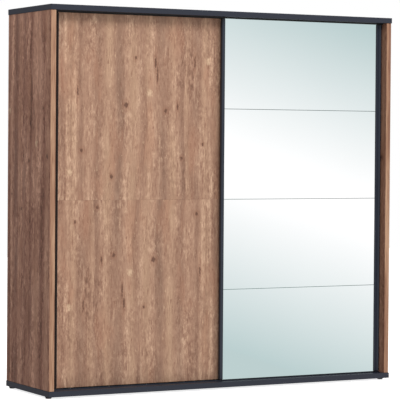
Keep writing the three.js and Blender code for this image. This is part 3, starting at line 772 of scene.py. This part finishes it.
def banded_board(node, sides, band_finish=None):
    low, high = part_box(node)
    body, slot = body_of_node[node], slot_of_node[node]
    board = copy_of_node(node, node + "_board")
    for side in sides:
        outward = Vector(SIDES[side])
        face = low if min(outward) < 0 else high
        band = slice_off(board, f"{node}_{side}_band", face - outward * BAND, outward)
        dress(ease(band, BAND_EASE), body, slot, band_finish)
    return dress(ease(board, BOARD_EASE), body, slot, node=node)


SHELVES = ["left_hat_shelf", "right_hat_shelf", "right_upper_shelf", "right_lower_shelf"]
for plate in ("top_plate", "bottom_plate"):
    banded_board(plate, ["front", "left", "right"])
for panel in ("left_side_panel", "right_side_panel"):
    banded_board(panel, ["front"], oak_band)
for board_node in ["centre_partition", *SHELVES]:
    banded_board(board_node, ["front"])
print("banded boards:", 5 + len(SHELVES))

# %% [markdown]
# ## Door boards and mirror panes
# The wooden door is two boards of the same print, one above the other. The mirror door is four panes
# glued on a backing board. The panes have ground and polished edges, cut by one flat chamfer. Soft light
# passes the panes by, so that a pane and its sharp reflection don't shade the pieces around it.

# %% Doors
BOARD_ROUND = 0.4 * MM
PANE_CHAMFER = 1.1 * MM


def eased_node(node, width, segments=2, finish=None):
    return dress(ease(copy_of_node(node, node + "_piece"), width, segments),
                 body_of_node[node], slot_of_node[node], finish, node)


eased_node("wood_door_upper_board", BOARD_ROUND, finish=oak_upper)
eased_node("wood_door_lower_board", BOARD_ROUND, finish=oak_lower)
for number in (1, 2, 3, 4):
    pane = eased_node(f"mirror_pane_{number}", PANE_CHAMFER, segments=1)
    pane.visible_diffuse = False
print("door boards: 2, mirror panes:", number)

# %% [markdown]
# ## Door profiles and their end caps
# Each upright edge of a door is an extruded aluminium profile, powder coated. The handle profiles are
# hollowed so that fingers can pull them. A sawn profile end is sharp, so a moulded cap closes it. The cap
# is the last few millimetres of the profile, cut off at a plane and made of plastic.

# %% Profiles with caps
CAP = 3.0 * MM
PROFILE_EASE = 0.35 * MM


def capped_profile(node):
    low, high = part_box(node)
    body = body_of_node[node]
    profile = copy_of_node(node, node + "_length")
    for end, face, outward in (("top", high, Vector((0, 0, 1))), ("bottom", low, Vector((0, 0, -1)))):
        cap = slice_off(profile, f"{node}_{end}_cap", face - outward * CAP, outward)
        dress(ease(cap, PROFILE_EASE), body, "black_plastic")
    # painted shade: the wooden door's profiles take the darker, browner coat for the shade of their recess
    coat = shaded_profile_coat if body == "wood_door" else None
    return dress(ease(profile, PROFILE_EASE), body, slot_of_node[node], coat, node)


PROFILES = [f"{door}_{kind}_profile"
            for door in ("wood_door", "mirror_door")
            for kind in ("handle", "edge")]
for profile_node in PROFILES:
    capped_profile(profile_node)
print("capped profiles:", len(PROFILES))

# %% [markdown]
# ## Brush strips
# A brush strip on each door's outer edge closes the gap beside the side panel and softens the stop. It is
# a thin carrier with a dense row of bristle tufts. One tuft is modelled from a small cone, and an Array
# modifier repeats it along the door. The tufts lean a little at random, drawn from a seeded generator so
# that each run is the same.

# %% Brush strips
CARRIER = 1.8 * MM
TUFT_PITCH = 5.0 * MM
TUFT_LEAN = 0.35 * MM
TUFT_ROOT = 0.46
TUFT_TIP = 0.30


def box_piece(name, low, high):
    """A cube primitive that fills the box between two corners, with its place in its mesh."""
    bpy.ops.object.select_all(action="DESELECT")
    bpy.ops.mesh.primitive_cube_add(size=1, location=(low + high) / 2)
    piece = bpy.context.active_object
    piece.name = name
    piece.scale = high - low
    bpy.ops.object.transform_apply(location=True, rotation=True, scale=True)
    return piece

# %% [markdown]
# The strip's box says where its root and its tips are. The carrier fills the first part of it, and the
# row of tufts the rest.

# %% The two strips
def brush_strip(node, toward, draw):
    """toward is -1 for bristles that point left, 1 for right. Tuft radii are shares of the depth."""
    low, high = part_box(node)
    root = high.x if toward < 0 else low.x
    tip = low.x if toward < 0 else high.x
    edge = root + toward * CARRIER
    carrier = box_piece(node + "_carrier",
                        Vector((min(root, edge), low.y, low.z)), Vector((max(root, edge), high.y, high.z)))
    dress(ease(carrier, 0.3 * MM), body_of_node[node], "anthracite_aluminium")

    depth = high.y - low.y
    count = int((high.z - low.z) / TUFT_PITCH)
    bpy.ops.object.select_all(action="DESELECT")
    bpy.ops.mesh.primitive_cone_add(
        vertices=6, radius1=depth * TUFT_ROOT, radius2=depth * TUFT_TIP, depth=abs(tip - edge),
        location=((edge + tip) / 2, (low.y + high.y) / 2, low.z + TUFT_PITCH / 2),
        rotation=(0, math.radians(90 * toward), 0))
    bristles = bpy.context.active_object
    bristles.name = node + "_bristles"
    bpy.ops.object.transform_apply(location=True, rotation=True, scale=True)
    repeat = bristles.modifiers.new("row of tufts", "ARRAY")
    repeat.use_relative_offset = False
    repeat.use_constant_offset = True
    repeat.constant_offset_displace = (0, 0, TUFT_PITCH)
    repeat.count = count
    bpy.ops.object.modifier_apply(modifier=repeat.name)
    for vertex in bristles.data.vertices:
        if abs(vertex.co.x - tip) < CARRIER:
            vertex.co.y += draw.uniform(-TUFT_LEAN, TUFT_LEAN)
            vertex.co.z += draw.uniform(-TUFT_LEAN, TUFT_LEAN)
    return dress(bristles, body_of_node[node], "brush_pile", node=node)


bristle_draw = random.Random(7)
brush_strip("wood_door_brush_strip", -1, bristle_draw)
brush_strip("mirror_door_brush_strip", 1, bristle_draw)
print("brush strips: 2")

# %% [markdown]
# ## Glazing beads and the painted shade line
# A soft black bead is pressed between each upright profile and the board or the mirror that it holds. It
# keeps the panel from rattling, and its black is the fine dark line along the profile. That line also
# stands in for the shade beside the profile: painted shade. Each one is a cube primitive that fills the
# corner between the profile's lip and the panel's face, with its long edges eased like extruded rubber.

# %% Glazing beads, black for the shade along the profiles
BEAD_AIR = 0.05 * MM
BEAD_RISE = 1.2 * MM
BEAD_FROM_END = 3.0 * MM


def shade_line_bead(profile, panel, width, toward):
    """toward is 1 for a bead on the profile's right and -1 for one on its left."""
    low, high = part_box(profile)
    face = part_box(panel)[0].y
    start = high.x + BEAD_AIR if toward > 0 else low.x - BEAD_AIR - width
    bead = box_piece(
        f"{profile}_bead",
        Vector((start, face - BEAD_AIR - BEAD_RISE, low.z + BEAD_FROM_END)),
        Vector((start + width, face - BEAD_AIR, high.z - BEAD_FROM_END)))
    return dress(ease(bead, 0.5 * MM), body_of_node[profile], "black_plastic")


# painted shade: the beads' black also stands in for the shade along the profiles
shade_line_beads = [
    shade_line_bead("wood_door_handle_profile", "wood_door_upper_board", 4.5 * MM, 1),
    shade_line_bead("wood_door_edge_profile", "wood_door_upper_board", 3.0 * MM, -1),
    shade_line_bead("mirror_door_edge_profile", "mirror_pane_1", 2.5 * MM, 1),
    shade_line_bead("mirror_door_handle_profile", "mirror_pane_1", 2.5 * MM, -1),
]
print("glazing beads:", [bead.name for bead in shade_line_beads])

# %% [markdown]
# ## Dust seal and the shade under the top plate
# A thin black lip of soft plastic hangs under the top plate, just in front of the doors. It closes the
# gap above them and keeps dust out. Its black also stands in for the shade under the plate: painted
# shade. It is a cube primitive as long as the opening.

# %% Dust seal under the top plate, black for its shade
SEAL_AIR = 1.5 * MM
SEAL_THICKNESS = 2.0 * MM
left_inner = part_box("left_side_panel")[1].x
right_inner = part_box("right_side_panel")[0].x
door_front, door_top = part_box("mirror_door_handle_profile")
plate_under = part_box("top_plate")[0].z
shade_seal = box_piece(
    "top_shade_seal",
    Vector((left_inner + 0.5 * MM, door_front.y - SEAL_AIR - SEAL_THICKNESS, door_top.z)),
    Vector((right_inner - 0.5 * MM, door_front.y - SEAL_AIR, plate_under - BEAD_AIR)))
# painted shade: the seal's black stands in for the shade under the top plate
dress(ease(shade_seal, 0.5 * MM), "carcass", "black_plastic")
print("dust seal height, mm:", round((plate_under - door_top.z) / MM, 1))

# %% [markdown]
# ## Adjustable feet
# A foot is a moulded cone with a felt or rubber pad under it. The pad is the lowest slice of the foot.

# %% Feet with pads
FOOT_PAD = 2.5 * MM
FEET = [node for node in sorted(frame["nodes"]) if node.endswith("_foot")]
for foot_node in FEET:
    foot_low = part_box(foot_node)[0]
    foot = copy_of_node(foot_node, foot_node + "_body")
    pad = slice_off(foot, foot_node + "_pad", foot_low + Vector((0, 0, FOOT_PAD)), Vector((0, 0, -1)))
    dress(ease(pad, 0.5 * MM), body_of_node[foot_node], "black_plastic")
    dress(ease(foot, 0.5 * MM), body_of_node[foot_node], "black_plastic", node=foot_node)
print("feet:", len(FEET))

# %% [markdown]
# ## Everything else that is plainly cut, moulded or pressed
# Each kind of part has the edge its making leaves: a moulded part is rounder than a sawn one, and folded
# steel is crisp.

# %% Eased edges by kind
EASE_BY_SLOT = {
    "anthracite_decor": 0.3 * MM,
    "backboard": 0.2 * MM,
    "fibreboard": 0.2 * MM,
    "anthracite_aluminium": 0.35 * MM,
    "zinced_steel": 0.25 * MM,
    "grey_nylon": 0.4 * MM,
    "black_plastic": 0.6 * MM,
}
finished = {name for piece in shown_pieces() for name in piece.get("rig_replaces", [])}
print("left to do:", sorted(set(frame["nodes"]) - finished))
for node in sorted(set(frame["nodes"]) - finished):
    own_finish = rail_chrome if node == "hanging_rail" else None
    eased_node(node, EASE_BY_SLOT[slot_of_node[node]], finish=own_finish)
print("every node is dressed:", len(frame["nodes"]))

# %% [markdown]
# ## Screws
# Screws hold the tracks, roller units, top guides, shelf rests and rail sockets. One head is modelled: a
# short cylinder with a rounded rim, and a cross recess cut by two crossed bars with a Boolean. It is then
# copied, turned to its face, and the copies on one part are joined.

# %% One screw head
SCREW_R = 3.2 * MM
SCREW_PROUD = 0.9 * MM
SCREW_RIM = 0.35 * MM
RECESS = 0.55 * MM
BAR_LENGTH = 1.3 * SCREW_R
BAR_WIDTH = 0.28 * SCREW_R


def model_screw():
    bpy.ops.object.select_all(action="DESELECT")
    bpy.ops.mesh.primitive_cylinder_add(vertices=20, radius=SCREW_R, depth=2 * SCREW_PROUD)
    head = bpy.context.active_object
    head.name = "screw_pattern"
    ease(head, SCREW_RIM)
    for angle in (0, 90):
        bpy.ops.object.select_all(action="DESELECT")
        bpy.ops.mesh.primitive_cube_add(size=1, location=(0, 0, SCREW_PROUD))
        bar = bpy.context.active_object
        bar.scale = (BAR_LENGTH, BAR_WIDTH, RECESS * 2)
        bar.rotation_euler = (0, 0, math.radians(angle))
        bpy.ops.object.transform_apply(location=True, rotation=True, scale=True)
        activate(head)
        cut = head.modifiers.new("cross recess", "BOOLEAN")
        cut.object = bar
        cut.operation = "DIFFERENCE"
        cut.solver = "EXACT"
        bpy.ops.object.modifier_apply(modifier=cut.name)
        bpy.data.objects.remove(bar)
    bpy.ops.object.shade_smooth_by_angle(angle=math.radians(30))
    return head


screw = model_screw()
print("screw head faces:", len(screw.data.polygons))


def screws(name, body, places, outward, pattern=screw, slot="zinced_steel", finish=None):
    """Copies of a pattern at the places, all facing the same way, joined into one piece."""
    turn = Vector((0, 0, 1)).rotation_difference(Vector(outward)).to_matrix().to_4x4()
    copies = []
    for place in places:
        copy = bpy.data.objects.new(name, pattern.data.copy())
        bpy.context.scene.collection.objects.link(copy)
        copy.data.transform(Matrix.Translation(place) @ turn)
        copies.append(copy)
    activate(copies[0])
    for copy in copies:
        copy.select_set(True)
    bpy.ops.object.join()
    return dress(copies[0], body, slot, finish)


# %% [markdown]
# The tracks are screwed to the plates along the rib between their two channels, at an even pitch. The
# bottom track shows its heads from above, and the top track from below.

# %% Screws of the tracks
bottom_low, bottom_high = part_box("bottom_track")
top_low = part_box("top_track")[0]
RIB_Y = (bottom_low.y + bottom_high.y) / 2
SCREW_PITCH = 0.23
TRACK_SCREWS = [-0.92 + SCREW_PITCH * step for step in range(9)]
screws("bottom_track_screws", "carcass",
       [Vector((x, RIB_Y, bottom_high.z)) for x in TRACK_SCREWS], (0, 0, 1))
screws("top_track_screws", "carcass",
       [Vector((x, RIB_Y, top_low.z)) for x in TRACK_SCREWS], (0, 0, -1))

print("screws in each track:", len(TRACK_SCREWS))

# %% [markdown]
# Every door carries two roller units at its foot and two guides at its head. Each is fixed from behind by
# two screws, near the edge that lies on the door.

# %% Screws of the roller units and top guides
UNIT_SPREAD = 0.32
UNIT_INSET = 7 * MM
for door in ("wood_door", "mirror_door"):
    for hand in ("left", "right"):
        for unit in ("roller_housing", "top_guide"):
            unit_low, unit_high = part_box(f"{door}_{hand}_{unit}")
            middle = (unit_low + unit_high) / 2
            spread = (unit_high.x - unit_low.x) * UNIT_SPREAD
            level = unit_high.z - UNIT_INSET if unit == "roller_housing" else unit_low.z + UNIT_INSET
            screws(f"{door}_{hand}_{unit}_screws", door,
                   [Vector((middle.x + side * spread, unit_high.y, level)) for side in (-1, 1)], (0, 1, 0))

print("door units screwed on: 8")

# %% [markdown]
# A shelf rest is a steel angle. Three screws go through its upright web into the panel, and two hold each
# rail socket, one above the tube and one below.

# %% Screws of the shelf rests and rail sockets
REST_WEB = 1.5 * MM
REST_RISE = 6 * MM
REST_SHARES = (0.08, 0.5, 0.92)
SOCKET_FLANGE = 4 * MM
SOCKET_REACH = 20.3 * MM
for shelf in SHELVES:
    for end in ("inner", "outer"):
        rest_low, rest_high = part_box(f"{shelf}_{end}_rest")
        shelf_low, shelf_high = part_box(shelf)
        on_low_side = (rest_low.x + rest_high.x) / 2 < (shelf_low.x + shelf_high.x) / 2
        web = rest_low.x + REST_WEB if on_low_side else rest_high.x - REST_WEB
        screws(f"{shelf}_{end}_rest_screws", "carcass",
               [Vector((web, rest_low.y + (rest_high.y - rest_low.y) * share, rest_low.z + REST_RISE))
                for share in REST_SHARES], (1 if on_low_side else -1, 0, 0))
for end, side in (("outer", 1), ("inner", -1)):
    socket_low, socket_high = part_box(f"hanging_rail_{end}_socket")
    middle = (socket_low + socket_high) / 2
    flange = socket_low.x + SOCKET_FLANGE if side > 0 else socket_high.x - SOCKET_FLANGE
    screws(f"hanging_rail_{end}_socket_screws", "carcass",
           [Vector((flange, middle.y, middle.z + lift * SOCKET_REACH)) for lift in (-1, 1)], (side, 0, 0))
print("shelf and rail screws placed")

# %% [markdown]
# ## Joint strip on the back
# The two back panels meet behind the centre partition. An extruded strip lies over the joint from bottom
# to top, and its screws go through both panels' edges into the partition. It is a cube primitive with
# eased edges.

# %% Joint strip and its screws
STRIP_HALF_WIDTH = 14 * MM
STRIP_THICKNESS = 1.8 * MM
STRIP_AIR = 0.05 * MM
STRIP_FROM_END = 14 * MM
left_back_low, left_back_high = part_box("left_back_panel")
right_back_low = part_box("right_back_panel")[0]
joint = (left_back_high.x + right_back_low.x) / 2
strip_face = left_back_high.y + STRIP_AIR
strip = box_piece(
    "back_joint_strip",
    Vector((joint - STRIP_HALF_WIDTH, strip_face, left_back_low.z + STRIP_FROM_END)),
    Vector((joint + STRIP_HALF_WIDTH, strip_face + STRIP_THICKNESS, left_back_high.z - STRIP_FROM_END)))
dress(ease(strip, 0.6 * MM), "carcass", "grey_nylon")
STRIP_SCREWS = [0.12 + SCREW_PITCH * step for step in range(9)]
screws("back_joint_screws", "carcass",
       [Vector((joint, strip_face + STRIP_THICKNESS, height)) for height in STRIP_SCREWS], (0, 1, 0))
print("joint strip at x =", round(joint, 4))

# %% [markdown]
# ## Cover caps
# Cam fittings pull the side panels and the partition onto the two plates. The cams sit in round pockets
# near the panels' ends, and a thin cap in the colour of the panel closes each pocket. A cap is a flat
# cylinder primitive with a rounded rim, copied to every pocket. The two patterns have then done their
# work and are removed.

# %% Cover caps of the cam fittings
CAP_R = 9 * MM
CAP_PROUD = 0.8 * MM
CAP_FROM_END = 34 * MM
CAP_DEPTHS = (0.02, 0.20)
bpy.ops.object.select_all(action="DESELECT")
bpy.ops.mesh.primitive_cylinder_add(vertices=32, radius=CAP_R, depth=2 * CAP_PROUD)
cap_pattern = bpy.context.active_object
cap_pattern.name = "cap_pattern"
ease(cap_pattern, 0.4 * MM)
bpy.ops.object.shade_smooth_by_angle(angle=math.radians(30))
for panel, side, slot, finish in (
        ("left_side_panel", 1, "oak_decor", oak_band),
        ("right_side_panel", -1, "oak_decor", oak_band),
        ("centre_partition", -1, "interior_decor", None)):
    panel_low, panel_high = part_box(panel)
    face = panel_high.x if side > 0 else panel_low.x
    screws(f"{panel}_cover_caps", "carcass",
           [Vector((face, depth, level))
            for level in (panel_low.z + CAP_FROM_END, panel_high.z - CAP_FROM_END) for depth in CAP_DEPTHS],
           (side, 0, 0), cap_pattern, slot, finish)
bpy.data.objects.remove(cap_pattern)
bpy.data.objects.remove(screw)
